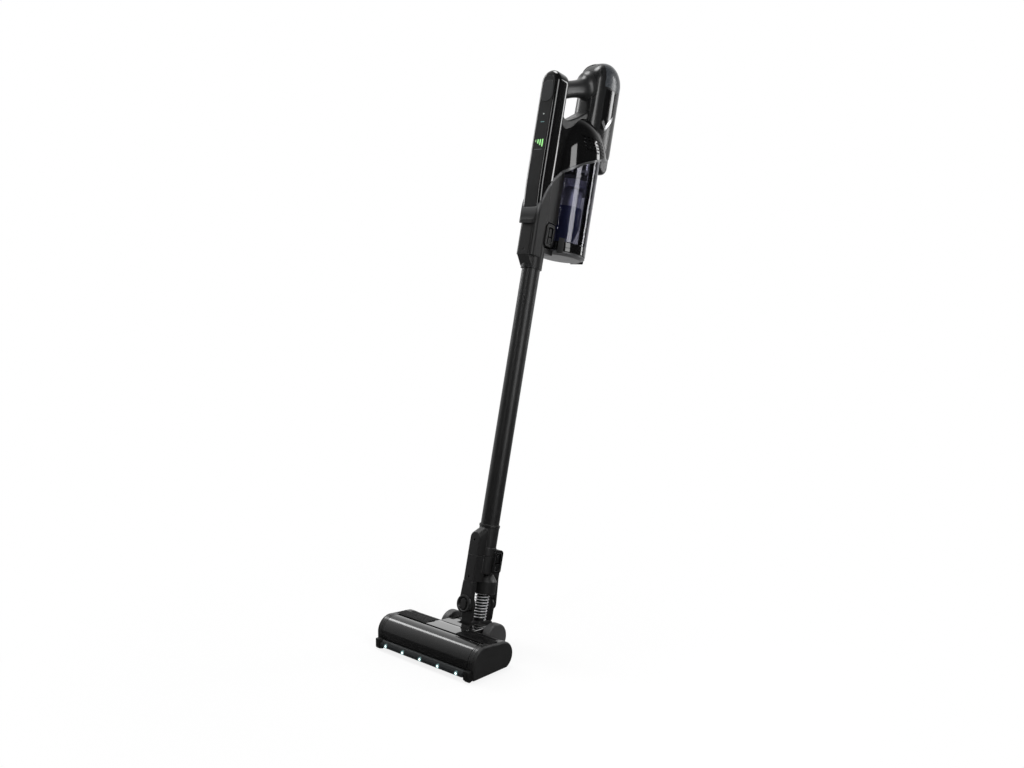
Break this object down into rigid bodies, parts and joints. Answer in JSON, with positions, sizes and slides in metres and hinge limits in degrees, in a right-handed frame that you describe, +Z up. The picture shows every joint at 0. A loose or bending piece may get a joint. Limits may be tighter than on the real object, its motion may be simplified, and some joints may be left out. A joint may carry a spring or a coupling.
{
  "type": "cordless stick vacuum",
  "caption": "Battery stick vacuum: powered floor head with lit front strip, steering neck, straight wand, and a handheld unit with looped grip, clear cyclone bin and slide-out battery.",
  "frame": {"origin": "point on the floor directly under the tilt axis of the floor head", "axes": "+X along the floor head to its right end, +Y to the rear, +Z up; the wand leans back 13.75 degrees toward +Y"},
  "size_m": [0.251, 0.5529, 1.0995],
  "materials": {
    "gloss_black": "polished black moulding",
    "panel_black": "soft-touch black",
    "light_green": "lit light guides",
    "board_green": "circuit board",
    "matte_black": "fine-grained black moulding",
    "casing_black": "fine-grained charcoal moulding",
    "trim_grey": "satin dark grey trim",
    "steel": "bright steel",
    "rubber_black": "soft rubber",
    "motor_steel": "plated motor can",
    "button_grey": "soft-touch dark grey",
    "core_grey": "roller core",
    "satin_slate": "satin blue-grey moulding",
    "cell_green": "sleeved battery cell",
    "smoke_clear": "clear smoke-tinted",
    "navy": "dark navy moulding",
    "mesh_steel": "perforated screen",
    "filter_white": "pleated filter media",
    "tube_black": "satin anodised black",
    "spring_steel": "bright spring wire",
    "cover_black": "semi-gloss black",
    "lens_smoke": "smoky translucent strip",
    "led_white": "lit white lamps",
    "bristle": "nylon bristle tufts",
    "wheel_grey": "matt dark grey"
  },
  "bodies": {
    "handheld": {"spine_shell": "gloss_black", "control_panel": "panel_black", "display_lights": "light_green", "control_board": "board_green", "web_frame": "matte_black", "grip_handle": "matte_black", "tail_shell": "casing_black", "tail_windows": "gloss_black", "charge_socket": "matte_black", "motor_hood": "gloss_black", "arch_trim": "trim_grey", "connector_housing": "casing_black", "socket_screw": "steel", "port_seal": "rubber_black", "motor_can": "motor_steel", "motor_mount": "rubber_black"},
    "power_key": {"power_button": "button_grey"},
    "wand_release": {"wand_latch": "matte_black"},
    "fan_rotor": {"motor_fan": "core_grey"},
    "battery_pack": {"battery_cap": "satin_slate", "battery_case": "matte_black", "battery_cells": "cell_green"},
    "dust_bin": {"bin_wall": "smoke_clear", "bin_band": "gloss_black", "flap_pin": "steel", "cyclone_core": "navy", "mesh_screen": "mesh_steel", "bin_filter": "filter_white"},
    "bin_door": {"bin_flap": "satin_slate"},
    "door_catch": {"flap_latch": "matte_black"},
    "wand": {"wand_tube": "tube_black", "wand_foot": "casing_black", "foot_screw": "steel"},
    "neck": {"neck_body": "casing_black", "neck_screw": "steel", "bell_skirt": "casing_black", "front_arm": "casing_black", "steer_pins": "casing_black", "hose_liner": "rubber_black", "hose_spring": "spring_steel"},
    "neck_release": {"neck_latch": "matte_black"},
    "tilt_yoke": {"yoke": "matte_black"},
    "floor_head": {"head_base": "matte_black", "roller_cover": "cover_black", "rear_deck": "matte_black", "end_caps": "casing_black", "bumpers": "rubber_black", "led_strip": "lens_smoke", "led_lamps": "led_white", "center_housing": "gloss_black", "axle_pins": "steel", "brush_bearings": "core_grey", "brush_motor": "motor_steel", "drive_belt": "rubber_black"},
    "brush_roller": {"brush_core": "core_grey", "brush_bristles": "bristle"},
    "pulley": {"motor_pulley": "motor_steel"},
    "right_wheel": {"wheel_right": "wheel_grey"},
    "left_wheel": {"wheel_left": "wheel_grey"},
    "support_rollers": {"sole_rollers": "wheel_grey"}
  },
  "joints": [
    {"name": "power_press", "type": "slide", "parent": "handheld", "child": "power_key", "axis": [0, 0.9713, -0.2377], "range_m": [0, 0.0015], "stiffness_N_per_m": 600, "springref_m": -0.0004},
    {"name": "wand_release_press", "type": "slide", "parent": "handheld", "child": "wand_release", "axis": [0, -0.9713, 0.2377], "range_m": [0, 0.002], "stiffness_N_per_m": 900, "springref_m": -0.0008},
    {"name": "fan_spin", "type": "hinge", "parent": "handheld", "child": "fan_rotor", "pos_m": [0, 0.29357, 0.88172], "axis": [0, 0.2377, 0.9713], "continuous": true},
    {"name": "battery_lift", "type": "slide", "parent": "handheld", "child": "battery_pack", "axis": [0, 0.2377, 0.9713], "range_m": [0, 0.1]},
    {"name": "bin_pull", "type": "slide", "parent": "handheld", "child": "dust_bin", "axis": [0, -0.2377, -0.9713], "range_m": [0, 0.16]},
    {"name": "bin_door_swing", "type": "hinge", "parent": "dust_bin", "child": "bin_door", "pos_m": [0, 0.30208, 0.70616], "axis": [1, 0, 0], "range_deg": [0, 90]},
    {"name": "door_catch_press", "type": "slide", "parent": "dust_bin", "child": "door_catch", "axis": [0, -0.2377, -0.9713], "range_m": [0, 0.0025], "stiffness_N_per_m": 400, "springref_m": -0.0008},
    {"name": "wand_pull", "type": "slide", "parent": "handheld", "child": "wand", "axis": [0, -0.2377, -0.9713], "range_m": [0, 0.06]},
    {"name": "neck_pull", "type": "slide", "parent": "wand", "child": "neck", "axis": [0, -0.2377, -0.9713], "range_m": [0, 0.045]},
    {"name": "neck_release_press", "type": "slide", "parent": "neck", "child": "neck_release", "axis": [0, -0.9713, 0.2377], "range_m": [0, 0.002], "stiffness_N_per_m": 900, "springref_m": -0.0008},
    {"name": "steer", "type": "hinge", "parent": "neck", "child": "tilt_yoke", "pos_m": [0, 0.012, 0.07605], "axis": [0, 0.9713, -0.2377], "range_deg": [-40, 40], "deforming": ["hose_liner", "hose_spring"]},
    {"name": "tilt", "type": "hinge", "parent": "tilt_yoke", "child": "floor_head", "pos_m": [0, 0, 0.027], "axis": [1, 0, 0], "range_deg": [-13.75, 51.25]},
    {"name": "brush_spin", "type": "hinge", "parent": "floor_head", "child": "brush_roller", "pos_m": [0, -0.098, 0.024], "axis": [1, 0, 0], "continuous": true},
    {"name": "pulley_spin", "type": "hinge", "parent": "floor_head", "child": "pulley", "pos_m": [0, -0.052, 0.026], "axis": [1, 0, 0], "continuous": true},
    {"name": "right_wheel_spin", "type": "hinge", "parent": "floor_head", "child": "right_wheel", "pos_m": [0, 0, 0.027], "axis": [1, 0, 0], "continuous": true},
    {"name": "left_wheel_spin", "type": "hinge", "parent": "floor_head", "child": "left_wheel", "pos_m": [0, 0, 0.027], "axis": [1, 0, 0], "continuous": true},
    {"name": "roller_spin", "type": "hinge", "parent": "floor_head", "child": "support_rollers", "pos_m": [0, -0.068, 0.0052], "axis": [1, 0, 0], "continuous": true}
  ],
  "couplings": [
    {"joint": "pulley_spin", "follows": "brush_spin", "ratio": 2}
  ]
}
